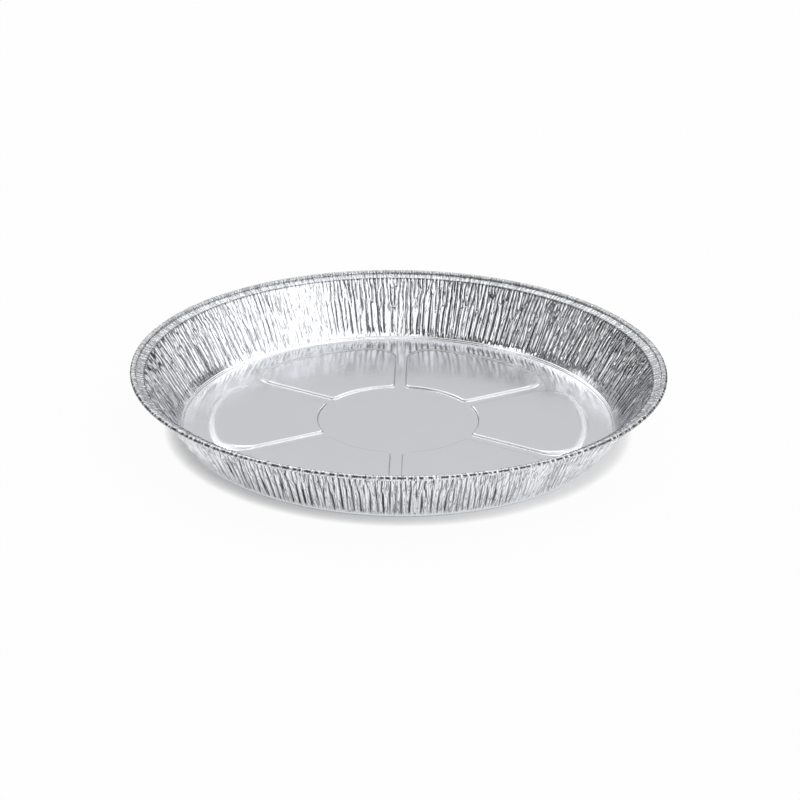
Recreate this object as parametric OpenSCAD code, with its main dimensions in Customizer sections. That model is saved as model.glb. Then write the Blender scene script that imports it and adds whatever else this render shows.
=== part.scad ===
// Foil pie tin: one thin aluminium sheet pressed to a round tin. Six raised pads stiffen
// the base, the sloping wall is gathered into forking pleats that run on as crimps across
// a narrow flange, and the sheet's edge is rolled up into a bead.
// Millimetres, +Z up, with the origin in the resting plane under the tin's centre.

/* [Overall] */
// Diameter over the rolled bead
rim_d = 232; // [220:1:250]
// Diameter of the foot, where the line of the wall meets the resting plane
foot_d = 188; // [182:1:194]
// Height from the resting plane to the top of the bead
tin_h = 28; // [24:0.5:36]

/* [Rim] */
// Width of the rolled bead, which is an oval
bead_w = 2.8; // [2.2:0.1:3.4]
// Height of the rolled bead
bead_h = 2; // [1.8:0.1:2.4]
// Width of the flange between the wall and the bead
flange_w = 3; // [2.4:0.1:5]
// Rise of the flange from the wall to the middle of the bead
flange_rise = 1.6; // [1:0.1:2.2]

/* [Sheet] */
// Thickness of the foil
foil_t = 0.18; // [0.14:0.02:0.22]
// Thickness of the foot, where the gathered wall runs into the smooth corner
foot_t = 0.3; // [0.28:0.02:0.4]
// Radius of the corner between the base and the wall
corner_r = 1.2; // [0.8:0.1:2]

/* [Pleats] */
// Pleats at the foot of the wall, where half as many again reach the flange
foot_pleats = 192; // [120:4:192]
// Depth of the deepest pleats, from ridge to valley
pleat_depth = 0.9; // [0.5:0.1:1.1]
// How unevenly the pleats are spaced, as a share of their pitch
unevenness = 0.5; // [0:0.1:0.6]
// How far the pleats lean to one side and back up the wall, in degrees round the tin
wander = 0.5; // [0:0.1:0.8]

/* [Base] */
// Number of raised pads
pad_count = 6; // [4:1:8]
// Height of the pads over the rest of the base
pad_h = 0.9; // [0.5:0.1:1.4]
// Width of the slope on the pads' edges beside the spokes and the disc
edge_slope = 0.8; // [0.4:0.1:1.2]
// Width of the gentle slope on the pads' edges beside the wall
outer_slope = 5; // [2:0.5:6]
// Diameter of the flat disc that the pads surround
disc_d = 70; // [50:1:90]
// Diameter over the pads
pads_d = 168; // [160:1:172]
// Width of the flat spokes between the pads
spoke_w = 4.6; // [3:0.2:8]
// Radius of the pads' corners beside the wall
outer_corner_r = 12; // [6:1:14]
// Radius of the pads' corners beside the disc
inner_corner_r = 2.5; // [1.5:0.5:4]

/* [Hidden] */

bead_at = [rim_d / 2 - bead_w / 2, tin_h - bead_h / 2];
foot_r = foot_d / 2;

// The top corner of the wall, as radius and height.
lip = [rim_d / 2 - bead_w - flange_w, bead_at[1] - flange_rise];
wall_angle = atan2(lip[1], lip[0] - foot_r);
flange_angle = atan2(flange_rise, flange_w + bead_w / 2);

// The directions across the sheet, towards the inside, in the wall and in the flange.
wall_across = [-sin(wall_angle), cos(wall_angle)];
flange_across = [-sin(flange_angle), cos(flange_angle)];
lip_across = (wall_across + flange_across) / (1 + wall_across * flange_across);

// Points on a line of the wall's slope that is set off across the sheet.
function wall_point(height, offset = 0) =
    [foot_r + (height - offset / cos(wall_angle)) / tan(wall_angle), height];

function reverse(list) = [for (i = [len(list) - 1 : -1 : 0]) list[i]];

// The base with its corner and the foot of the wall

corner_steps = 6;

// Height at which the foot ends, just inside the pleated wall.
foot_top = 2;

// The arc that rounds the corner between a level line and the line of the wall.
function corner_arc(level, radius, offset) =
    let (
        meet = wall_point(level, offset),
        centre = meet + [-radius * tan(wall_angle / 2), radius]
    )
    [for (k = [0 : corner_steps])
        let (a = wall_angle * k / corner_steps - 90)
        centre + radius * [cos(a), sin(a)]];

foot_outline = concat(
    [[0, 0]],
    corner_arc(0, corner_r, -foot_t / 2),
    [wall_point(foot_top, -foot_t / 2), wall_point(foot_top, foot_t / 2)],
    reverse(corner_arc(foil_t, corner_r - foot_t, foot_t / 2)),
    [[0, foil_t]]
);

// The pads

pad_arc_steps = 8;
corner_arc_steps = 6;

// The outline of one pad about the +X axis at a share of its height, drawn in by a margin,
// as points that begin half-way along the edge beside the wall.
function pad_side(share, margin) =
    let (
        inset = share * edge_slope + margin,
        outer = pads_d / 2 - share * outer_slope - margin,
        inner = disc_d / 2 + inset,
        half = 180 / pad_count,
        gap = spoke_w / 2 + inset,
        big = outer_corner_r - inset,
        small = inner_corner_r - inset / 2,
        big_at = asin((gap + big) / (outer - big)),
        small_at = asin((gap + small) / (inner + small)),
        big_centre = (outer - big) * [cos(half - big_at), sin(half - big_at)],
        small_centre = (inner + small) * [cos(half - small_at), sin(half - small_at)]
    )
    concat(
        [for (k = [0 : pad_arc_steps / 2 - 1])
            let (a = (half - big_at) * k / (pad_arc_steps / 2))
            outer * [cos(a), sin(a)]],
        [for (k = [0 : corner_arc_steps])
            let (a = half - big_at + (90 + big_at) * k / corner_arc_steps)
            big_centre + big * [cos(a), sin(a)]],
        [for (k = [0 : corner_arc_steps])
            let (a = half + 90 + (90 - small_at) * k / corner_arc_steps)
            small_centre + small * [cos(a), sin(a)]],
        [for (k = [1 : pad_arc_steps / 2])
            let (a = (half - small_at) * (1 - k / (pad_arc_steps / 2)))
            inner * [cos(a), sin(a)]]
    );

function pad_outline(share, margin) =
    let (side = pad_side(share, margin), last = len(side) - 2)
    concat(side, [for (i = [last : -1 : 1]) [side[i][0], -side[i][1]]]);

// A block with the form of a pad, from a share of its height below its foot up to its top.
module pad_block(below, lift, margin) {
    low = pad_outline(-below, margin);
    high = pad_outline(1, margin);
    n = len(low);
    polyhedron(
        points = concat(
            [for (p = low) [p[0], p[1], lift - below * pad_h]],
            [for (p = high) [p[0], p[1], lift + pad_h]]
        ),
        faces = concat(
            [[for (i = [0 : n - 1]) i]],
            [concat([n], [for (i = [n - 1 : -1 : 1]) n + i])],
            [for (i = [0 : n - 1]) [i, n + i, n + (i + 1) % n, (i + 1) % n]]
        )
    );
}

module each_pad() {
    for (k = [0 : pad_count - 1])
        rotate(360 * k / pad_count)
            children();
}

// Shares of a pad's height by which its block and the hollow under it start below its foot.
pad_root = 0.5 * foil_t / pad_h;
hollow_root = foil_t / pad_h;

module base() {
    difference() {
        union() {
            rotate_extrude($fn = high_folds)
                polygon(foot_outline);
            each_pad()
                pad_block(pad_root, foil_t, 0);
        }
        each_pad()
            pad_block(hollow_root, 0, foil_t);
    }
}

// The pleated wall and the crimped flange

low_folds = 4 * round(foot_pleats / 2);
high_folds = low_folds * 3 / 2;

// Heights of the rows of fold points, where the forks' is a share of the wall's height.
foot_row = 1.7;
first_row = 6.5;
fork_share = 0.62;

// Depths of the folds near the foot and at the lip, as shares of their depth at the forks.
first_depth = 0.9;
lip_depth = 0.7;

// How far a row's fold points stand above or below it, so that the ridges end unevenly.
first_stagger = 1.5;
fork_stagger = 3;

// Each row of fold points up the wall: radius and height, how many points, depth of the
// folds, how far their heights vary, and the direction across the sheet.
rows = [
    [wall_point(foot_row), low_folds, 0, 0, wall_across],
    [wall_point(first_row), low_folds, first_depth, first_stagger, wall_across],
    [wall_point(lip[1] * fork_share), high_folds, 1, fork_stagger, wall_across],
    [lip, high_folds, lip_depth, 0, lip_across]
];
last_row = len(rows) - 1;

// Seeds of the folds' spacing, depths and heights, of which each row adds its own number.
spacing_seed = 11;
depth_seed = 31;
height_seed = 51;

// The shallowest fold, as a share of the deepest.
least_depth = 0.3;

// Random values for the points of every row.
function rands_of_rows(low, high, seed) =
    [for (k = [0 : last_row]) rands(low, high, rows[k][1], seed + k)];

shifts = rands_of_rows(-unevenness, unevenness, spacing_seed);
depths = rands_of_rows(least_depth, 1, depth_seed);
rises = rands_of_rows(-1, 1, height_seed);

// The lean goes to and fro this often round the tin, and this far on in each next row.
lean_waves = 5;
lean_step = 70;

// One fold point, on the upper side of the sheet or on the under side.
function fold_point(k, i, side) =
    let (
        row = rows[k],
        ridge = i % 2 == 0 ? 1 : -1,
        around = 360 * i / row[1],
        lean = wander * sin(lean_step * k + lean_waves * around),
        turn = around + 180 * shifts[k][i] / row[1] + lean,
        across = ridge * row[2] * depths[k][i] * pleat_depth / 2 + side * foil_t / 2,
        rise = row[3] * rises[k][i],
        place = row[0] + rise * [1 / tan(wall_angle), 1] + across * row[4]
    )
    [place[0] * cos(turn), place[0] * sin(turn), place[1]];

// The crimps run straight out from the wall's folds to inside the bead.
crimp_end = bead_at;
crimp_spread = crimp_end[0] / lip[0];

function crimp_point(i, side) =
    crimp_spread * (fold_point(last_row, i, side) - [0, 0, lip[1]]) + [0, 0, crimp_end[1]];

counts = concat([for (row = rows) row[1]], [high_folds]);
first_of = [for (k = 0, sum = 0; k < len(counts); sum = sum + counts[k], k = k + 1) sum];
side_points = low_folds * 2 + high_folds * 3;

// Triangles between two rows with as many points, or with two points against three.
function even_band(a, b, n) =
    [for (i = [0 : n - 1])
        let (j = (i + 1) % n)
        each [[a + i, a + j, b + j], [a + i, b + j, b + i]]];

function fork_band(a, b, n) =
    [for (g = [0 : n / 2 - 1])
        let (
            a0 = a + 2 * g,
            a1 = a0 + 1,
            a2 = a + (2 * g + 2) % n,
            b0 = b + 3 * g,
            b1 = b0 + 1,
            b2 = b0 + 2,
            b3 = b + (3 * g + 3) % (n * 3 / 2)
        )
        each [[a0, a1, b1], [a0, b1, b0], [a1, b2, b1], [a1, a2, b2], [a2, b3, b2]]];

// All the triangles of one side of the sheet, whose points are numbered from start.
function side_faces(start) =
    [for (k = [0 : len(counts) - 2])
        let (a = start + first_of[k], b = start + first_of[k + 1], n = counts[k])
        each (n == counts[k + 1] ? even_band(a, b, n) : fork_band(a, b, n))];

function flip(faces) = [for (f = faces) reverse(f)];

module pleated_wall() {
    top_row = first_of[len(counts) - 1];
    polyhedron(
        points = [for (side = [-1, 1]) each concat(
            [for (k = [0 : last_row]) for (i = [0 : counts[k] - 1]) fold_point(k, i, side)],
            [for (i = [0 : high_folds - 1]) crimp_point(i, side)]
        )],
        faces = concat(
            flip(side_faces(0)),
            side_faces(side_points),
            flip(even_band(top_row, side_points + top_row, high_folds)),
            even_band(0, side_points, low_folds)
        )
    );
}

// The rolled edge, flat where the flange runs into it

bead_steps = 12;
bead_open = 50;

bead_outline = [for (k = [0 : bead_steps])
    let (a = (180 - bead_open) * (2 * k / bead_steps - 1))
    bead_at + [bead_w * cos(a), bead_h * sin(a)] / 2];

module bead() {
    rotate_extrude($fn = high_folds)
        polygon(bead_outline);
}

module pie_tin() {
    color("silver") {
        base();
        pleated_wall();
        bead();
    }
}

pie_tin();
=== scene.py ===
"""Foil pie tin: the pressed sheet's base, its pleated wall and flange, and the rolled bead."""

import math

import bpy
import numpy as np
from mathutils import Matrix, Vector
from mathutils.geometry import delaunay_2d_cdt


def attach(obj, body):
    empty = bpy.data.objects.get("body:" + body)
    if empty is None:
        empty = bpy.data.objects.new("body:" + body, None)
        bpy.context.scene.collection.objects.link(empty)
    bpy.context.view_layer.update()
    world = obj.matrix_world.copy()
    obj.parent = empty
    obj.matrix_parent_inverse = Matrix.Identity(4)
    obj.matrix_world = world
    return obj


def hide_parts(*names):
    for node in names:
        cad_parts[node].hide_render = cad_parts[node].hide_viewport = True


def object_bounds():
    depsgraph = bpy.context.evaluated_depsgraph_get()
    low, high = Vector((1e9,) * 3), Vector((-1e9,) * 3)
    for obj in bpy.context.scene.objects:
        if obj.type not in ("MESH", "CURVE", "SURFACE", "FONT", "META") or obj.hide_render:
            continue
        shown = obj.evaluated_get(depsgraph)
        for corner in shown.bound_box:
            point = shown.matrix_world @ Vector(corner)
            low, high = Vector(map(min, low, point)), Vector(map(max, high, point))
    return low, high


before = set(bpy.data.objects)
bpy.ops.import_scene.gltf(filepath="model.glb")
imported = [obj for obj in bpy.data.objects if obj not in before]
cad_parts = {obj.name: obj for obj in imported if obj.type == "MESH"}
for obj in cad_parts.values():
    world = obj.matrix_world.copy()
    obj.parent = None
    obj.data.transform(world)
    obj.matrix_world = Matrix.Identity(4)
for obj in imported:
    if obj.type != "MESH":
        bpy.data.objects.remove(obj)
cad_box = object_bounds()

# Sizes in millimetres, of which the rim and the height come from the frame

MM = 0.001
RIM_R = cad_box[1].x / MM
TIN_H = cad_box[1].z / MM
FOOT_R = 94.0
FOIL_T = 0.18
CORNER_R = 1.2
BEAD_W = 2.8
BEAD_H = 2.0
FLANGE_W = 3.0
FLANGE_RISE = 1.6
LIP_BEND_R = 0.7

PAD_COUNT = 6
PAD_H = 0.9
EDGE_SLOPE = 0.8
OUTER_SLOPE = 5.0
DISC_R = 35.0
PADS_R = 84.0
SPOKE_W = 4.6
OUTER_CORNER_R = 12.0
INNER_CORNER_R = 2.5

BEAD_AT = np.array([RIM_R - BEAD_W / 2, TIN_H - BEAD_H / 2])
LIP = np.array([RIM_R - BEAD_W - FLANGE_W, BEAD_AT[1] - FLANGE_RISE])
WALL_ANGLE = math.atan2(LIP[1], LIP[0] - FOOT_R)
FLANGE_ANGLE = math.atan2(FLANGE_RISE, FLANGE_W + BEAD_W / 2)

# The flange ends inside the bead, this share of the bead's half-width from its middle.
FLANGE_END = 0.7

# The seam between the base's piece and the wall's, in the smooth foot of the wall
SEAM_H = 1.6

# The circle in the flat ring outside the pads where the base's plan ends
PLAN_R = 90.0

# Points round the tin in each piece's rows
BASE_COLUMNS = 576
WALL_COLUMNS = 3072
BEAD_COLUMNS = 4608

# Steps along the sheet: over the ring, round the corner and up to the seam, then up the wall,
# round the lip and out along the flange
RING_STEPS = 3
CORNER_STEPS = 7
FOOT_STEPS = 2
WALL_STEPS = 30
LIP_STEPS = 3
FLANGE_STEPS = 3

# Steps round the bead's section
BEAD_STEPS = 20

# The pleated wall is made as this many parts, each a share of the way round.
WALL_PARTS = 4


# Meshes


def angles(columns):
    return np.arange(columns) * 2 * math.pi / columns


def new_piece(name, points, faces, material, creases=None, normals=None):
    """A smooth piece from points in millimetres, which stands for the tin's CAD node. creases is the
    painted shade of each point, from 0 to 1."""
    mesh = bpy.data.meshes.new(name)
    mesh.from_pydata((points * MM).tolist(), [], faces)
    mesh.shade_smooth()
    if normals is not None:
        mesh.normals_split_custom_set_from_vertices(normals.tolist())
    mesh.materials.append(material)
    if creases is not None:
        depths = mesh.attributes.new("crease", "FLOAT", "POINT")
        depths.data.foreach_set("value", creases.ravel().astype(np.float32))
    piece = bpy.data.objects.new(name, mesh)
    bpy.context.scene.collection.objects.link(piece)
    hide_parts("pie_tin")
    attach(piece, "root")


def swept_points(radius, height, turned_on=0):
    """The points of rows of radii and heights, one for each column round the tin, which may be
    turned on by a further angle."""
    turn = angles(radius.shape[1]) + turned_on
    return np.stack([radius * np.cos(turn), radius * np.sin(turn), height], axis=-1).reshape(-1, 3)


def band_faces(circles):
    """Squares between each circle of point numbers and the next, which lies further clockwise
    in the section: out along the upper side of the sheet and back along its under side."""
    faces = [
        np.stack([a, b, np.roll(b, -1), np.roll(a, -1)], axis=1) for a, b in zip(circles, circles[1:])
    ]
    return np.concatenate(faces).tolist()


def ring_faces(rows, columns):
    """The faces of a closed ring of this many rows."""
    circles = np.arange(rows * columns).reshape(rows, columns)
    return band_faces([*circles, circles[0]])


# The middle of the sheet, as radii and heights with the directions across it


def across(angle):
    return np.array([-math.sin(angle), math.cos(angle)])


def bend(corner, radius, start, end, steps):
    """Points and directions of an arc that rounds a corner between two slopes."""
    reach = radius * math.tan((end - start) / 2)
    centre = corner - reach * np.array([math.cos(start), math.sin(start)]) + radius * across(start)
    return [(centre - radius * across(a), across(a)) for a in np.linspace(start, end, steps + 1)]


def line(start, end, angle, steps):
    """Points and directions of a straight stretch, without its first point."""
    return [(start + (end - start) * k / steps, across(angle)) for k in range(1, steps + 1)]


def wall_at(height):
    return np.array([FOOT_R + height / math.tan(WALL_ANGLE), height])


def foot_path():
    """From the end of the base's plan along the flat ring, round the corner and up to the
    seam, without its first point."""
    arc = bend(wall_at(FOIL_T / 2), CORNER_R - FOIL_T / 2, 0, WALL_ANGLE, CORNER_STEPS)
    ring = line(np.array([PLAN_R, FOIL_T / 2]), arc[0][0], 0, RING_STEPS)
    return ring[:-1] + arc + line(arc[-1][0], wall_at(SEAM_H), WALL_ANGLE, FOOT_STEPS)


def wall_path():
    """From the seam up the wall, over the lip and along the flange into the bead."""
    lip = bend(LIP, LIP_BEND_R, WALL_ANGLE, FLANGE_ANGLE, LIP_STEPS)
    seam = wall_at(SEAM_H)
    outside = FLANGE_END * BEAD_W / 2 / (BEAD_AT[0] - LIP[0])
    flange_end = LIP + (BEAD_AT - LIP) * (1 - outside)
    return (
        [(seam, across(WALL_ANGLE))]
        + line(seam, lip[0][0], WALL_ANGLE, WALL_STEPS)
        + lip[1:]
        + line(lip[-1][0], flange_end, FLANGE_ANGLE, FLANGE_STEPS)
    )


def lengths(path):
    """How far along the sheet each point of a path lies."""
    steps = [np.linalg.norm(b[0] - a[0]) for a, b in zip(path, path[1:])]
    return np.concatenate([[0], np.cumsum(steps)])


# Folds, as smooth random waves round the tin that fork where they meet

# Each kind of wave as its seed, the spread of its number as a share, and how far up the sheet
# or round the bead a wave holds, in millimetres: the pleats, the small creases between them,
# where those are strong, the sheet's slow tilt, where the pleats start, the bead's two kinds of
# crinkle, and the breaks in the line of the sheet's edge
PLEAT_WAVES = (5, 0.28, 9.0)
SMALL_WAVES = (12, 0.3, 9.0)
ROUGH_WAVES = (13, 0.6, 10.0)
TILT_WAVES = (6, 0.35, 12.0)
START_WAVES = (7, 0.5, 1.0)
CRINKLE_WAVES = (8, 0.45, 0.4)
CRIMP_WAVES = (9, 0.4, 0.9)
TEAR_WAVES = (14, 0.5, 1.0)

# Steps of the random curves within the length that a wave holds, and how many such lengths they
# go on past both ends
KNOTS = 3
KNOTS_PAST = 3


def smooth_noise(rng, places, count, reach):
    """Random complex numbers at each place, which change smoothly over a reach."""
    past = KNOTS_PAST * reach
    knots = np.arange(places.min() - past, places.max() + past, reach / KNOTS)
    raw = rng.normal(size=(len(knots), count)) + 1j * rng.normal(size=(len(knots), count))
    weight = np.exp(-0.5 * ((places[:, None] - knots) / reach) ** 2)
    weight /= np.sqrt((weight**2).sum(axis=1, keepdims=True))
    return weight @ raw


def waves(kind, places, columns, count):
    """Waves of a kind round the tin, with this count at each place along the sheet."""
    seed, spread, reach = kind
    rng = np.random.default_rng(seed)
    numbers = np.arange(columns // 2)
    count = np.broadcast_to(count, places.shape)[:, None]
    share = np.exp(-0.5 * ((numbers - count) / (spread * count)) ** 2)
    share /= np.sqrt(2 * (share**2).sum(axis=1, keepdims=True))
    spectrum = smooth_noise(rng, places, len(numbers), reach) * share
    return np.fft.ifft(spectrum, n=columns, axis=1) * columns


def ramp(x, low, high):
    x = np.clip((x - low) / (high - low), 0, 1)
    return x * x * (3 - 2 * x)


def from_valley(signal):
    """How far the points of a wave lie from its nearest valley, from 0 to 1 on a ridge."""
    return 1 - np.abs(np.angle(signal)) / math.pi


# The half-width of a fold's valley, as a share of the way from it to the ridge
VALLEY_W = 0.22


def crease(place, width=VALLEY_W):
    """How near the sheet is to a valley, from 1 in it to 0 away from it: the valley's form, and the
    painted shade in it.
    """
    return np.exp(-((place / width) ** 2))


def panel(place, width=VALLEY_W):
    """A rounded panel beside a narrow valley, from 0 to 1."""
    return 0.5 * (1 - crease(place, width)) + 0.5 * place * (2 - place)


# Stretches round the tin, each with its middle and half-width in degrees from +X towards +Y: the calm
# ones, which lose this share of the pleats' depth and of their valleys' painted shade, the crushed
# ones, where the creases are wider by this share, the one where the small creases between the pleats
# take more painted shade, and the one where the bead's creases take less painted shade by this share
CALM = [(114, 8, 0.6), (-58, 3.5, 0.6), (133, 17, 0.45), (-54, 18, 0.4)]
CRUSHED = [(176, 16, 1.0), (62, 17, 0.8), (8, 22, 0.4), (-121, 14, 0.5)]
MORE_SMALL_SHADE = [(-90, 55, 0.45)]
LESS_SHADED_BEAD = [(-90, 48, 0.8)]


def stretches(table, columns):
    """The shares of a table's stretches in each column round the tin."""
    turn = np.degrees(angles(columns))
    total = np.zeros(columns)
    for middle, half_width, share in table:
        away = (turn - middle + 180) % 360 - 180
        total += share * np.exp(-((away / half_width) ** 2))
    return total


# How many pleats go round the tin at its foot and at its lip, and where up the wall, as shares
# of its length, their number rises. Their forks crowd together by a share of that length, which
# rises in a place of its own.
PLEATS_LOW = 225
PLEATS_HIGH = 350
PLEATS_RISE = (0.3, 0.85)
CROWDING = 1.6
CROWDING_RISE = (0.45, 1.2)

# The small creases and the tilts, for each pleat
SMALL_SHARE = 2.3
TILT_SHARE = 0.42


def wall_waves(along, up):
    """The pleats and the small creases between them, as waves, and the sheet's slow tilt."""
    count = PLEATS_LOW + (PLEATS_HIGH - PLEATS_LOW) * ramp(up, *PLEATS_RISE)
    crowded = along + CROWDING * along[WALL_STEPS] * ramp(up, *CROWDING_RISE)
    return (
        waves(PLEAT_WAVES, crowded, WALL_COLUMNS, count),
        waves(SMALL_WAVES, crowded, WALL_COLUMNS, SMALL_SHARE * count),
        waves(TILT_WAVES, along, WALL_COLUMNS, TILT_SHARE * count).real,
    )


# Where the folds start above the seam, in millimetres: how ragged their starts are and how many
# such steps go round the tin, and how much higher they start at the sides, with the power that
# keeps this near them. A crushed stretch takes a share of softness from the starts.
START_H = 1.2
START_COUNT = 110
SIDE_START = 2.5
SIDE_SHARPNESS = 4
CRUSHED_SHARPNESS = 0.9

# How far above its start a fold has its full depth, in millimetres, as an even part and one that
# softness adds. Its crease's painted shade begins at a share of the start's height, and is full this
# far above the start, in the same two parts.
FOLD_RISE = (1.2, 2.5)
DARK_START = 0.5
DARK_RISE = (0.6, 1.2)

# Where past the lip the folds become those of the flange, in millimetres
FLANGE_FROM = (0.2, 1.4)


def fold_ramps(along, crushed):
    """Where the folds stand out, where their creases take painted shade and where the flange is, from
    0 to 1 at each point."""
    soft = 1 - CRUSHED_SHARPNESS * np.minimum(crushed, 1)
    ragged = START_H * waves(START_WAVES, np.zeros(1), WALL_COLUMNS, START_COUNT).real
    start = np.abs(ragged) * soft + SIDE_START * np.cos(angles(WALL_COLUMNS)) ** SIDE_SHARPNESS
    places = along[:, None]
    wall = along[WALL_STEPS]
    return (
        ramp(places, start, start + FOLD_RISE[0] + FOLD_RISE[1] * soft),
        ramp(places, DARK_START * start, start + DARK_RISE[0] + DARK_RISE[1] * soft),
        ramp(places, wall + FLANGE_FROM[0], wall + FLANGE_FROM[1]),
    )


# The painted shade in the creases: the valleys by the size of their wave, the small creases, and the
# forks, plainly and where the sheet is crushed. The flange takes a share from the first two.
VALLEY_SHADE = 1.6
FLANGE_VALLEYS = 0.65
SMALL_SHADE = 0.5
FLANGE_SMALL = 0.5
FORK_SHADE = (0.3, 1.2)

# How small a wave is at a fork, and where up the wall the forks take painted shade, as shares of its
# length
FORK_W = 0.36
FORKS_FROM = (0.5, 0.8)

# The painted shadow line along the lip: how far past the lip, its half-width, and its shade as an
# even part and one that follows the small creases
LIP_SHADOW_AT = 0.2
LIP_SHADOW_W = 0.35
LIP_SHADOW_LEVEL = (0.75, 0.9)


def fold_shades(size, rough, crushed, calm, dark, flange, up):
    """The painted shade of the pleats' valleys, the small creases and the forks at each point."""
    more = stretches(MORE_SMALL_SHADE, WALL_COLUMNS)
    valleys = np.minimum(dark * size * VALLEY_SHADE, 1) * calm * (1 - FLANGE_VALLEYS * flange)
    small = (SMALL_SHADE + more) * dark * np.clip(rough + more, 0, 1) * (1 - FLANGE_SMALL * flange)
    forked = np.exp(-((size / FORK_W) ** 2)) * ramp(up, *FORKS_FROM)[:, None]
    return valleys, small, forked * (FORK_SHADE[0] + FORK_SHADE[1] * crushed) * (1 - flange)


def lip_shadow_line(along, small):
    """The painted shadow line along the lip at each point, broken by the small creases, given as
    waves.
    """
    from_lip_shadow = (along - along[WALL_STEPS] - LIP_SHADOW_AT) / LIP_SHADOW_W
    shade = LIP_SHADOW_LEVEL[0] + LIP_SHADOW_LEVEL[1] * small.real
    return np.exp(-(from_lip_shadow**2))[:, None] * np.clip(shade, 0, 1)


# The folds' depths in millimetres
FOLD_DEPTH = 0.72
SMALL_DEPTH = 0.1
TILT_DEPTH = 0.12

# The share of a pleat's depth that the smallest wave has, the size up to which the rest follows
# the wave's, and how soon pleats and small creases fade out at a fork
EVEN_SHARE = 0.35
MOST_SIZE = 1.3
FORK_FADE = 3
SMALL_FORK_FADE = 1.5

# How many patches of strong small creases go round the tin, their even part and their most
ROUGH_COUNT = 60
ROUGH_LEVEL = 0.4
MOST_ROUGH = 1.2

# The share of the pleats' depth that is lost at the lip, the last millimetres of the wall where
# it goes, and the further share that the flange takes
LIP_CALM = 0.25
LIP_CALM_W = 1.0
FLANGE_CALM = 0.62


def folds(path):
    """How far the folds move the sheet's upper and under side across it, and how much painted shade
    each point of both sides takes in the creases and along the lip."""
    along = lengths(path)
    wall = along[WALL_STEPS]
    up = along / wall
    pleats, small, tilt = wall_waves(along, up)
    calm = 1 - stretches(CALM, WALL_COLUMNS)
    crushed = stretches(CRUSHED, WALL_COLUMNS)
    rough = waves(ROUGH_WAVES, along, WALL_COLUMNS, ROUGH_COUNT).real
    rough = np.clip(rough + ROUGH_LEVEL * (1 + crushed), 0, MOST_ROUGH)
    folded, dark, flange = fold_ramps(along, crushed)

    size = np.abs(pleats)
    width = VALLEY_W * (1 + crushed)
    lip = ramp(along[:, None], wall - LIP_CALM_W, wall)
    shallow = (1 - LIP_CALM * lip - FLANGE_CALM * flange) * calm
    depth = FOLD_DEPTH * (EVEN_SHARE + (1 - EVEN_SHARE) * np.minimum(size, MOST_SIZE))
    depth = depth * np.minimum(size * FORK_FADE, 1) * folded * shallow
    small_depth = SMALL_DEPTH * rough * np.minimum(np.abs(small) * SMALL_FORK_FADE, 1) * folded
    sway = TILT_DEPTH * tilt * folded * shallow

    shades = fold_shades(size, rough, crushed, calm, dark, flange, up)
    lip_shadows = lip_shadow_line(along, small)
    moves = []
    creases = []
    for side in (1, -1):
        # The under side's valleys are the upper side's ridges.
        place = from_valley(side * pleats)
        small_place = from_valley(side * small)
        pleat = panel(place, width) - 0.5
        moves.append(side * (depth * pleat + small_depth * (panel(small_place) - 1)) + sway)
        # Painted shade in the valleys, the small creases and the forks, and the painted shadow along
        # the lip
        valleys = shades[0] * crease(place, width) + shades[1] * crease(small_place)
        creases.append(np.maximum(np.maximum(valleys, shades[2]), lip_shadows))
    return moves[0], moves[1], np.clip(np.concatenate([creases[0], creases[1][::-1]]), 0, 1)


# How far the pleats near the front lean outwards at their foot, in radians, and between which
# angles from the front that ends, in degrees
LEAN = 0.11
LEAN_ENDS = (35, 60)


def leaning(path):
    """How far each point of both sides is turned on by the lean of its pleat."""
    up = np.minimum(lengths(path) / lengths(path)[WALL_STEPS], 1)
    from_front = np.angle(np.exp(1j * (angles(WALL_COLUMNS) + math.pi / 2)))
    there = 1 - ramp(np.degrees(np.abs(from_front)), *LEAN_ENDS)
    upper = LEAN * (1 - up)[:, None] * np.sin(from_front) * there
    return np.concatenate([upper, upper[::-1]])


def both_sides(path, upper, under):
    """Radii and heights of the rows up the sheet's upper side and back down its under side."""
    middle = np.array([p for p, _ in path])
    out = np.array([d for _, d in path])
    top = middle[:, None] + (upper + FOIL_T / 2)[..., None] * out[:, None]
    low = middle[:, None] + (under - FOIL_T / 2)[..., None] * out[:, None]
    rows = np.concatenate([top, low[::-1]])
    return rows[..., 0], rows[..., 1]


def sheet_normals(points):
    """Directions square to both sides of the sheet at each point of its rows."""
    half = len(points) // 2
    up = np.concatenate([np.gradient(points[:half], axis=0), np.gradient(points[half:], axis=0)])
    square = np.cross(up, np.roll(points, -1, axis=1) - np.roll(points, 1, axis=1))
    return square / np.linalg.norm(square, axis=2, keepdims=True)


def part_faces(rows, columns):
    """The faces of a part of the wall, whose ends are closed across the sheet."""
    grid = np.arange(rows * columns).reshape(rows, columns)
    a, b = grid, np.roll(grid, -1, axis=0)
    skin = np.stack([a[:, :-1], b[:, :-1], b[:, 1:], a[:, 1:]], axis=-1).reshape(-1, 4)
    half = rows // 2
    top, low = grid[:half], grid[half:][::-1]
    ends = np.stack([top[1:], top[:-1], low[:-1], low[1:]], axis=-1)
    return np.concatenate([skin, ends[:, 0], ends[:, -1, ::-1]]).tolist()


def pleated_wall():
    """The wall, its lip and the flange, with all their folds."""
    path = wall_path()
    upper, under, creases = folds(path)
    radius, height = both_sides(path, upper, under)
    rows = len(radius)
    points = swept_points(radius, height, leaning(path)).reshape(rows, WALL_COLUMNS, 3)
    normals = sheet_normals(points)
    material = foil("wall_foil", WALL_ROUGHNESS, creased)
    count = WALL_COLUMNS // WALL_PARTS + 1
    faces = part_faces(rows, count)
    for k in range(WALL_PARTS):
        part = (k * (count - 1) + np.arange(count)) % WALL_COLUMNS
        new_piece(
            f"wall_{k + 1}", points[:, part].reshape(-1, 3), faces, material,
            creases[:, part], normals[:, part].reshape(-1, 3),
        )
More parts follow.
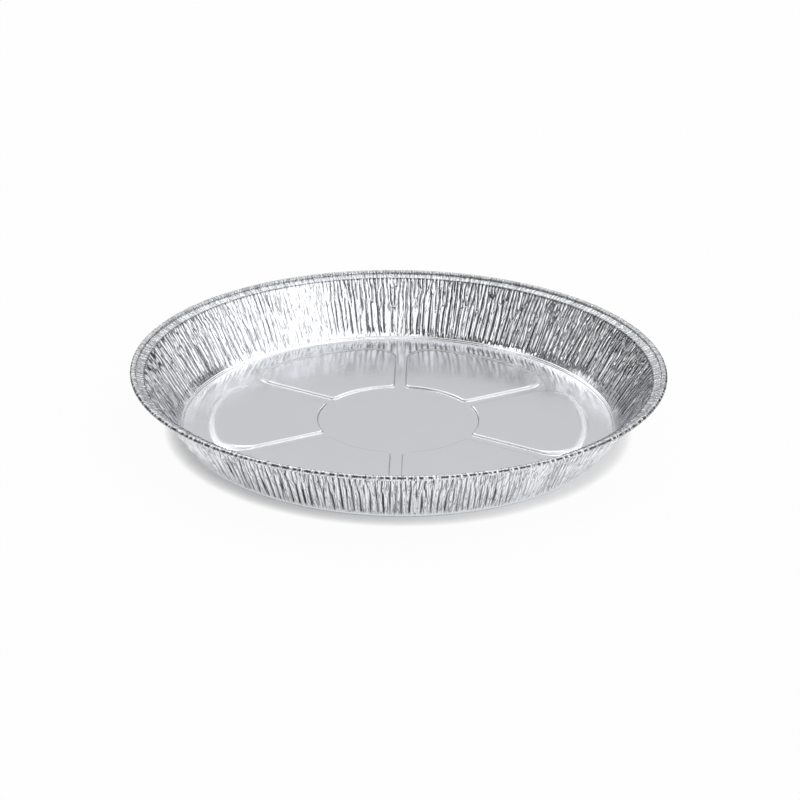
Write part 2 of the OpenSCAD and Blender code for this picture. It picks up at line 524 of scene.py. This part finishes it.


# The rolled edge

# The bead's crinkles and crimps: how many go round the tin, how much painted shade their valleys
# take, the valleys' half-width as a share of the way to the ridge, and their depth in millimetres
CRINKLES = 1050
CRIMPS = 520
CRINKLE_SHADE = 0.95
CRIMP_SHADE = 0.75
BEAD_VALLEY_W = 0.21
BEAD_DENT = 0.12

# Where the sheet's edge shows as a broken line along the roll, dented and darkened by painted shade,
# in degrees over its outer side, with half the line's width, its painted shade, its depth in
# millimetres, how many breaks there are, and how unbroken it is, as an even part and one that follows
# their waves
ROLL_EDGE_AT = 36
ROLL_EDGE_W = 19
ROLL_EDGE_SHADE = 2
ROLL_EDGE_DENT = 0.25
TEARS = 240
ROLL_EDGE_WHOLE = (0.7, 1.6)


def rolled_bead():
    """An oval roll, crinkled all over, whose deepest creases lie inside its outline."""
    turn = -angles(BEAD_STEPS)
    around = np.arange(BEAD_STEPS) * (BEAD_W + BEAD_H) / 2 * math.pi / BEAD_STEPS
    crinkle = from_valley(waves(CRINKLE_WAVES, around, BEAD_COLUMNS, CRINKLES))
    crimp = from_valley(waves(CRIMP_WAVES, around, BEAD_COLUMNS, CRIMPS))
    from_edge = np.angle(np.exp(1j * (turn - math.radians(ROLL_EDGE_AT))))
    torn = waves(TEAR_WAVES, np.zeros(1), BEAD_COLUMNS, TEARS).real
    whole = np.clip(ROLL_EDGE_WHOLE[0] + ROLL_EDGE_WHOLE[1] * torn, 0, 1)
    edge = np.exp(-((from_edge / math.radians(ROLL_EDGE_W)) ** 2))[:, None] * whole
    # Painted shade in the valleys of the crinkles and crimps, less at the front, and along the
    # sheet's edge
    creases = np.maximum(
        CRINKLE_SHADE * crease(crinkle, BEAD_VALLEY_W), CRIMP_SHADE * crease(crimp, BEAD_VALLEY_W)
    )
    creases = creases * (1 - stretches(LESS_SHADED_BEAD, BEAD_COLUMNS))
    creases = np.maximum(creases, np.minimum(ROLL_EDGE_SHADE * edge, 1))
    dent = BEAD_DENT * (1 - panel(crinkle)) + BEAD_DENT * (1 - panel(crimp)) + ROLL_EDGE_DENT * edge
    radius = BEAD_AT[0] + np.cos(turn)[:, None] * (BEAD_W / 2 - dent)
    height = BEAD_AT[1] + np.sin(turn)[:, None] * (BEAD_H / 2 - dent)
    material = foil("bead_foil", BEAD_ROUGHNESS, creased)
    new_piece(
        "rolled_bead", swept_points(radius, height), ring_faces(*radius.shape), material, creases
    )


# The base

# The pads' outlines from outside their slopes to inside them, as the share of the height that
# each has and its margin, which keeps the flat parts' shading flat
PAD_STEPS = [(0, -0.25), (0, 0), (0.25, 0), (0.5, 0), (0.75, 0), (1, 0), (1, 0.25)]

# Steps along half a pad's outline: its outer arc, its outer corner, its inner one and its
# inner arc
OUTLINE_STEPS = (16, 16, 10, 12)

# The triangulation keeps what lies inside the outlines, and joins points nearer than this.
INSIDE = 1
SAME_POINT = 1e-5


def arc_points(centre, radius, start, end, steps):
    turn = np.linspace(start, end, steps + 1)
    return centre + radius * np.stack([np.cos(turn), np.sin(turn)], axis=1)


def pad_outline(share, margin):
    """The outline of the pad about the +X axis, as points round its upper half and its lower."""
    inset = share * EDGE_SLOPE + margin
    outer = PADS_R - share * OUTER_SLOPE - margin
    inner = DISC_R + inset
    half = math.pi / PAD_COUNT
    gap = SPOKE_W / 2 + inset
    big = OUTER_CORNER_R - inset
    small = INNER_CORNER_R - inset / 2
    big_at = half - math.asin((gap + big) / (outer - big))
    small_at = half - math.asin((gap + small) / (inner + small))
    big_centre = (outer - big) * np.array([math.cos(big_at), math.sin(big_at)])
    small_centre = (inner + small) * np.array([math.cos(small_at), math.sin(small_at)])
    middle = np.zeros(2)
    side = np.concatenate([
        arc_points(middle, outer, 0, big_at, OUTLINE_STEPS[0])[:-1],
        arc_points(big_centre, big, big_at, half + math.pi / 2, OUTLINE_STEPS[1]),
        arc_points(small_centre, small, half + math.pi / 2, small_at + math.pi, OUTLINE_STEPS[2]),
        arc_points(middle, inner, small_at, 0, OUTLINE_STEPS[3])[1:],
    ])
    return np.concatenate([side, side[-2:0:-1] * [1, -1]])


def turned(points, angle):
    c, s = math.cos(angle), math.sin(angle)
    return points @ np.array([[c, s], [-s, c]])


def base_loops():
    """The base's plan as closed loops of points, each with its height."""
    loops = [(arc_points(np.zeros(2), PLAN_R, 0, 2 * math.pi, BASE_COLUMNS)[:-1], 0.0)]
    for k in range(PAD_COUNT):
        for share, margin in PAD_STEPS:
            outline = turned(pad_outline(share, margin), k * 2 * math.pi / PAD_COUNT)
            loops.append((outline, PAD_H * float(ramp(share, 0, 1))))
    return loops


def base_plan():
    """Triangles of the base inside its edge, with its points' places and heights."""
    loops = base_loops()
    plan = np.concatenate([outline for outline, _ in loops])
    heights = np.concatenate([np.full(len(outline), h) for outline, h in loops])
    edges = []
    first = 0
    for outline, _ in loops:
        n = len(outline)
        edges += [(first + i, first + (i + 1) % n) for i in range(n)]
        first += n
    points = [Vector(p) for p in plan.tolist()]
    found, _, triangles, sources, _, _ = delaunay_2d_cdt(points, edges, [], INSIDE, SAME_POINT)
    heights = np.array([heights[s[0]] for s in sources])
    return np.array([tuple(p) for p in found]), heights, [tuple(t) for t in triangles]


def base_sheet():
    """The flat base with its pads, its corner and the foot of the wall, upper and under side."""
    plan, heights, triangles = base_plan()
    path = foot_path()
    flat = np.zeros((len(path), BASE_COLUMNS))
    radius, height = both_sides(path, flat, flat)
    upper = np.column_stack([plan, heights + FOIL_T])
    under = np.column_stack([plan, heights])
    n = len(plan)
    points = np.concatenate([upper, under, swept_points(radius, height)])
    faces = [list(t) for t in triangles] + [[n + i for i in reversed(t)] for t in triangles]

    # The edge circle's points come first in the plan, in the order round the tin.
    edge = np.arange(BASE_COLUMNS)
    circles = [edge]
    circles += [2 * n + row * BASE_COLUMNS + edge for row in range(len(radius))]
    circles += [n + edge]
    faces += band_faces(circles)
    new_piece("base_sheet", points, faces, foil("base_foil", BASE_ROUGHNESS, pressed))


# Materials

FOIL_COLOUR = (0.93, 0.942, 0.97, 1)
# Painted shade: the near-black colour taken by the creases, the rim's dimples, the lip, the roll's
# edge and the pads' steep sides
PAINTED_SHADE_COLOUR = (0.03, 0.032, 0.036, 1)

# The roughness of each piece, the share by which it is uneven, and the scale of that in forms
# for each metre
WALL_ROUGHNESS = 0.07
BEAD_ROUGHNESS = 0.09
BASE_ROUGHNESS = 0.15
UNEVENNESS = 0.15
GLOSS_SCALE = 60


def node(tree, kind, **values):
    made = tree.nodes.new(kind)
    for key, value in values.items():
        setattr(made, key, value)
    return made


def operate(tree, kind, operation, values):
    """A node that calculates, with numbers or other nodes' sockets as its values."""
    made = node(tree, kind, operation=operation)
    for socket, value in zip(made.inputs, values):
        if isinstance(value, bpy.types.NodeSocket):
            tree.links.new(value, socket)
        else:
            socket.default_value = value
    return made


def maths(tree, operation, *values):
    return operate(tree, "ShaderNodeMath", operation, values).outputs["Value"]


def vector_maths(tree, operation, *values):
    return operate(tree, "ShaderNodeVectorMath", operation, values).outputs["Vector"]


def mapped(tree, value, low, high, to_low=0, to_high=1, kind="SMOOTHSTEP"):
    """A value carried from one range to another and held at its ends. The low end may be the
    greater number."""
    made = node(tree, "ShaderNodeMapRange", interpolation_type=kind)
    ends = {"From Min": low, "From Max": high, "To Min": to_low, "To Max": to_high}
    for name, number in ends.items():
        made.inputs[name].default_value = number
    tree.links.new(value, made.inputs["Value"])
    return made.outputs["Result"]


def noise(tree, place, scale, detail=2):
    made = node(tree, "ShaderNodeTexNoise")
    made.inputs["Scale"].default_value = scale
    made.inputs["Detail"].default_value = detail
    tree.links.new(place, made.inputs["Vector"])
    return made.outputs["Fac"]


def coordinates(tree, place):
    split = node(tree, "ShaderNodeSeparateXYZ")
    tree.links.new(place, split.inputs[0])
    return split.outputs


def bump(tree, height, distance, normal=None):
    made = node(tree, "ShaderNodeBump")
    made.inputs["Strength"].default_value = 1
    made.inputs["Distance"].default_value = distance * MM
    tree.links.new(height, made.inputs["Height"])
    if normal is not None:
        tree.links.new(normal, made.inputs["Normal"])
    return made.outputs["Normal"]


def foil(name, roughness, surface):
    """Bright rolled aluminium with a slight unevenness in its gloss. The surface says which way its
    small forms face, how much painted shade they take and how much rougher."""
    material = bpy.data.materials.new(name)
    material.use_nodes = True
    tree = material.node_tree
    shader = tree.nodes["Principled BSDF"].inputs
    shader["Metallic"].default_value = 1
    place = node(tree, "ShaderNodeTexCoord").outputs["Object"]
    ends = roughness * (1 - UNEVENNESS), roughness * (1 + UNEVENNESS)
    gloss = mapped(tree, noise(tree, place, GLOSS_SCALE), 0, 1, *ends, "LINEAR")
    normal, dark, rougher = surface(tree, place)
    tree.links.new(normal, shader["Normal"])
    tree.links.new(maths(tree, "ADD", gloss, rougher), shader["Roughness"])
    # Painted shade: the colour goes towards near black wherever the surface says
    colour = node(tree, "ShaderNodeMix", data_type="RGBA")
    tree.links.new(dark, colour.inputs["Factor"])
    colour.inputs["A"].default_value = FOIL_COLOUR
    colour.inputs["B"].default_value = PAINTED_SHADE_COLOUR
    tree.links.new(colour.outputs["Result"], shader["Base Color"])
    return material


# The slopes of the pads' edges: their crimps' height and size in millimetres, how near a slope's
# foot or top the crimps fade out, as shares of its height from its middle, and how much rougher
# the slopes are
CRIMP_H = 0.26
CRIMP_SIZE = 0.9
SLOPE_ENDS = (0.48, 0.1)
SLOPE_ROUGHNESS = 0.18

# How much painted shade darkens their steep sides, and the radii between which the steep sides end
EDGE_SHADE = 0.26
STEEP_ENDS = (PADS_R - OUTER_SLOPE + 1, PADS_R - OUTER_SLOPE - 4)


def pressed(tree, place):
    """The surface of the base: even on the flats and finely crimped on the pads' slopes, with painted
    shade on their steep sides.
    """
    at = coordinates(tree, place)
    share = maths(tree, "DIVIDE", maths(tree, "SUBTRACT", at["Z"], FOIL_T * MM), PAD_H * MM)
    from_middle = maths(tree, "ABSOLUTE", maths(tree, "SUBTRACT", share, 0.5))
    slope = mapped(tree, from_middle, *SLOPE_ENDS)
    crimps = maths(tree, "MULTIPLY", slope, noise(tree, place, 1 / (CRIMP_SIZE * MM), detail=1))
    square = maths(tree, "MULTIPLY_ADD", at["X"], at["X"], maths(tree, "MULTIPLY", at["Y"], at["Y"]))
    steep_ends = [radius * MM for radius in STEEP_ENDS]
    steep = maths(tree, "MULTIPLY", slope, mapped(tree, maths(tree, "SQRT", square), *steep_ends))
    dark = maths(tree, "MULTIPLY", steep, EDGE_SHADE)
    return bump(tree, crimps, CRIMP_H), dark, maths(tree, "MULTIPLY", slope, SLOPE_ROUGHNESS)


def creased(tree, place):
    """The surface of the wall, flange and bead: painted shade in its folds, its fine creases and the
    dimples of its crumpled rim."""
    lines = fine_creases(tree, place)
    crumple, dimples = crumples(tree, place)
    normal = bump(tree, crumple, CRUMPLE_H, bump(tree, lines, FINE_CREASE_DEPTH))
    folded = node(tree, "ShaderNodeAttribute", attribute_name="crease").outputs["Fac"]
    fine = maths(tree, "MULTIPLY", maths(tree, "SUBTRACT", 1, lines), FINE_CREASE_SHADE)
    small = maths(tree, "MAXIMUM", fine, maths(tree, "MULTIPLY", dimples, DIMPLE_SHADE))
    return normal, maths(tree, "MAXIMUM", folded, small), 0


# The crumpled rim: its forms' height and size in millimetres, where they set in below and above the
# lip, and its dimples' painted shade, with the noise at their edge and at their bottom
CRUMPLE_H = 0.25
CRUMPLE_SIZE = 0.85
CRUMPLE_FROM = (-0.4, 0.3)
DIMPLE_SHADE = 0.6
DIMPLE_ENDS = (0.47, 0.35)

# How far in front of the middle the painted shade of the rim's dimples has gone, and where it starts
# to go
UNSHADED_FRONT = (95, 50)


def crumples(tree, place):
    """The crumpled foil of the flange and the bead, as a height that is even below the lip, and the
    painted shade of its dimples, from 0 to 1 at their bottom, gone at the front."""
    at = coordinates(tree, place)
    forms = noise(tree, place, 1 / (CRUMPLE_SIZE * MM))
    low, high = [(LIP[1] + rise) * MM for rise in CRUMPLE_FROM]
    rim = mapped(tree, at["Z"], low, high, kind="LINEAR")
    back = mapped(tree, at["Y"], -UNSHADED_FRONT[0] * MM, -UNSHADED_FRONT[1] * MM)
    dimples = maths(tree, "MULTIPLY", mapped(tree, forms, *DIMPLE_ENDS), back)
    return maths(tree, "MULTIPLY", rim, forms), maths(tree, "MULTIPLY", rim, dimples)


# The fine creases: depth, painted shade, pitch round the tin and length up the sheet, in millimetres,
# and how far from its middle value the noise is at their edge
FINE_CREASE_DEPTH = 0.045
FINE_CREASE_SHADE = 0.7
FINE_CREASE_PITCH = 1.3
FINE_CREASE_LENGTH = 9.0
FINE_CREASE_W = 0.05


def fine_creases(tree, place):
    """Thin winding creases up the sheet, as a height from 0 in a crease to 1: where a noise on
    a cylinder, drawn out in height, crosses its middle value."""
    out = vector_maths(tree, "NORMALIZE", vector_maths(tree, "MULTIPLY", place, (1, 1, 0)))
    up = vector_maths(tree, "MULTIPLY", place, (0, 0, 1 / (FINE_CREASE_LENGTH * MM)))
    pitches = (RIM_R / FINE_CREASE_PITCH,) * 3
    lines = noise(tree, vector_maths(tree, "MULTIPLY_ADD", out, pitches, up), scale=1)
    from_middle = maths(tree, "ABSOLUTE", maths(tree, "SUBTRACT", lines, 0.5))
    return mapped(tree, from_middle, 0, FINE_CREASE_W)


# The floor, the light and the camera

FLOOR_R = 3000.0
FLOOR_STEPS = 96
FLOOR_COLOUR = (0.95, 0.95, 0.95, 1)

# How far the floor is topped up to white, and the shadow close to the tin that stays: how far it
# reaches in millimetres, and its strength in the foil, which is twice as much to the camera
FLOOR_LIFT = 0.95
SHADOW_REACH = 7.0
SHADOW_STRENGTH = 0.8
SHADOW_SAMPLES = 8


def floor_material():
    """A white floor: what the camera and the foil see is topped up to white, apart from the
    shadow close to the tin."""
    material = bpy.data.materials.new("white_floor")
    material.use_nodes = True
    tree = material.node_tree
    tree.nodes.remove(tree.nodes["Principled BSDF"])
    diffuse = node(tree, "ShaderNodeBsdfDiffuse")
    diffuse.inputs["Color"].default_value = FLOOR_COLOUR
    light = node(tree, "ShaderNodeEmission")
    light.inputs["Strength"].default_value = 1
    rays = node(tree, "ShaderNodeLightPath").outputs
    seen = maths(tree, "MAXIMUM", rays["Is Camera Ray"], rays["Is Glossy Ray"])
    seen = maths(tree, "MAXIMUM", seen, rays["Is Transmission Ray"])
    open_sky = node(tree, "ShaderNodeAmbientOcclusion", samples=SHADOW_SAMPLES)
    open_sky.inputs["Distance"].default_value = SHADOW_REACH * MM
    strength = maths(tree, "MULTIPLY_ADD", rays["Is Camera Ray"], SHADOW_STRENGTH, SHADOW_STRENGTH)
    seen = maths(tree, "MULTIPLY", seen, maths(tree, "POWER", open_sky.outputs["AO"], strength))
    mix = node(tree, "ShaderNodeMixShader")
    tree.links.new(maths(tree, "MULTIPLY", seen, FLOOR_LIFT), mix.inputs["Fac"])
    tree.links.new(diffuse.outputs[0], mix.inputs[1])
    tree.links.new(light.outputs[0], mix.inputs[2])
    tree.links.new(mix.outputs[0], tree.nodes["Material Output"].inputs["Surface"])
    return material


def white_floor():
    mesh = bpy.data.meshes.new("floor")
    edge = arc_points(np.zeros(2), FLOOR_R, 0, 2 * math.pi, FLOOR_STEPS)[:-1]
    points = np.column_stack([edge, np.zeros(len(edge))]) * MM
    mesh.from_pydata(points.tolist(), [], [list(range(len(edge)))])
    mesh.materials.append(floor_material())
    floor = bpy.data.objects.new("floor", mesh)
    bpy.context.scene.collection.objects.link(floor)


# The studio's light by direction: the room's, which falls to the horizon's between two
# elevations, and patches. Each patch has its middle as azimuth (from +X towards +Y) and
# elevation in degrees, its half-width and the softness of its edge, and its brightness.
ROOM_LIGHT = 0.59
HORIZON_LIGHT = 0.15
HORIZON_H = (1, 11)
PATCHES = [
    (47, 36, 16, 7, 1.5),
    (133, 36, 16, 7, 1.7),
    (90, 51, 13, 6, 1.7),
    (100, 82, 27, 8, 0.93),
    (-134, 36, 30, 6, 0.07),
    (168, 22, 24, 10, 0.14),
    (38, 12, 20, 7, 0.15),
    (140, 5, 14, 5, 0.12),
    (-88, 44, 11, 5, 1.4),
    (-68, 42, 16, 7, 1.45),
    (-45, 38, 18, 7, 1.55),
    (-20, 32, 18, 7, 1.55),
    (2, 27, 14, 6, 1.4),
    (-70, 66, 11, 6, 0.3),
    (-95, 4, 14, 6, 0.12),
    (-164, 49, 4, 3, 1.2),
    (148, 25, 12, 5, 0.95),
    (-156, 33, 10, 4, 1.7),
]


def studio_light():
    """Soft light from all sides, with the bright and dark patches that the foil mirrors."""
    world = bpy.data.worlds.new("studio")
    bpy.context.scene.world = world
    world.use_nodes = True
    tree = world.node_tree
    direction = node(tree, "ShaderNodeTexCoord").outputs["Generated"]
    low, high = [math.sin(math.radians(elevation)) for elevation in HORIZON_H]
    light = mapped(tree, coordinates(tree, direction)["Z"], low, high, HORIZON_LIGHT, ROOM_LIGHT)
    for azimuth, elevation, half_width, softness, level in PATCHES:
        a, e = math.radians(azimuth), math.radians(elevation)
        middle = (math.cos(a) * math.cos(e), math.sin(a) * math.cos(e), math.sin(e))
        near = operate(tree, "ShaderNodeVectorMath", "DOT_PRODUCT", (direction, middle))
        ends = [math.cos(math.radians(reach)) for reach in (half_width + softness, half_width)]
        blend = node(tree, "ShaderNodeMix", data_type="FLOAT")
        tree.links.new(mapped(tree, near.outputs["Value"], *ends), blend.inputs["Factor"])
        blend.inputs["B"].default_value = level
        tree.links.new(light, blend.inputs["A"])
        light = blend.outputs["Result"]
    sky = tree.nodes["Background"].inputs
    sky["Color"].default_value = (1, 1, 1, 1)
    tree.links.new(light, sky["Strength"])


# The photograph's viewpoint: the camera looks at the middle of the rim from this distance in
# millimetres and these angles in degrees, and the picture's middle lies off that point by a
# small shift.
VIEW_DISTANCE = 900.0
VIEW_ELEVATION = 22.68
VIEW_AZIMUTH = 1.0
VIEW_ROLL = 0.6
IMAGE_SIZE = 800
FOCAL_PIXELS = 2072
RIM_CENTRE_PIXEL = (398.8, 363.1)
SENSOR_W = 36.0

# The nearest and farthest that the camera sees, in metres
VIEW_NEAR = 0.05
VIEW_FAR = 20


def camera():
    data = bpy.data.cameras.new("camera")
    data.sensor_width = SENSOR_W
    data.lens = SENSOR_W * FOCAL_PIXELS / IMAGE_SIZE
    data.shift_x = 0.5 - RIM_CENTRE_PIXEL[0] / IMAGE_SIZE
    data.shift_y = RIM_CENTRE_PIXEL[1] / IMAGE_SIZE - 0.5
    data.clip_start = VIEW_NEAR
    data.clip_end = VIEW_FAR
    made = bpy.data.objects.new("camera", data)
    bpy.context.scene.collection.objects.link(made)
    a, e = math.radians(VIEW_AZIMUTH), math.radians(VIEW_ELEVATION)
    back = Vector((math.sin(a) * math.cos(e), -math.cos(a) * math.cos(e), math.sin(e)))
    target = Vector((0, 0, BEAD_AT[1] * MM))
    turn = back.to_track_quat("Z", "Y").to_matrix() @ Matrix.Rotation(math.radians(VIEW_ROLL), 3, "Z")
    made.matrix_world = Matrix.LocRotScale(target + back * VIEW_DISTANCE * MM, turn, None)
    bpy.context.scene.camera = made


base_sheet()
pleated_wall()
rolled_bead()
white_floor()
studio_light()
camera()
bpy.context.scene.view_settings.view_transform = "Standard"
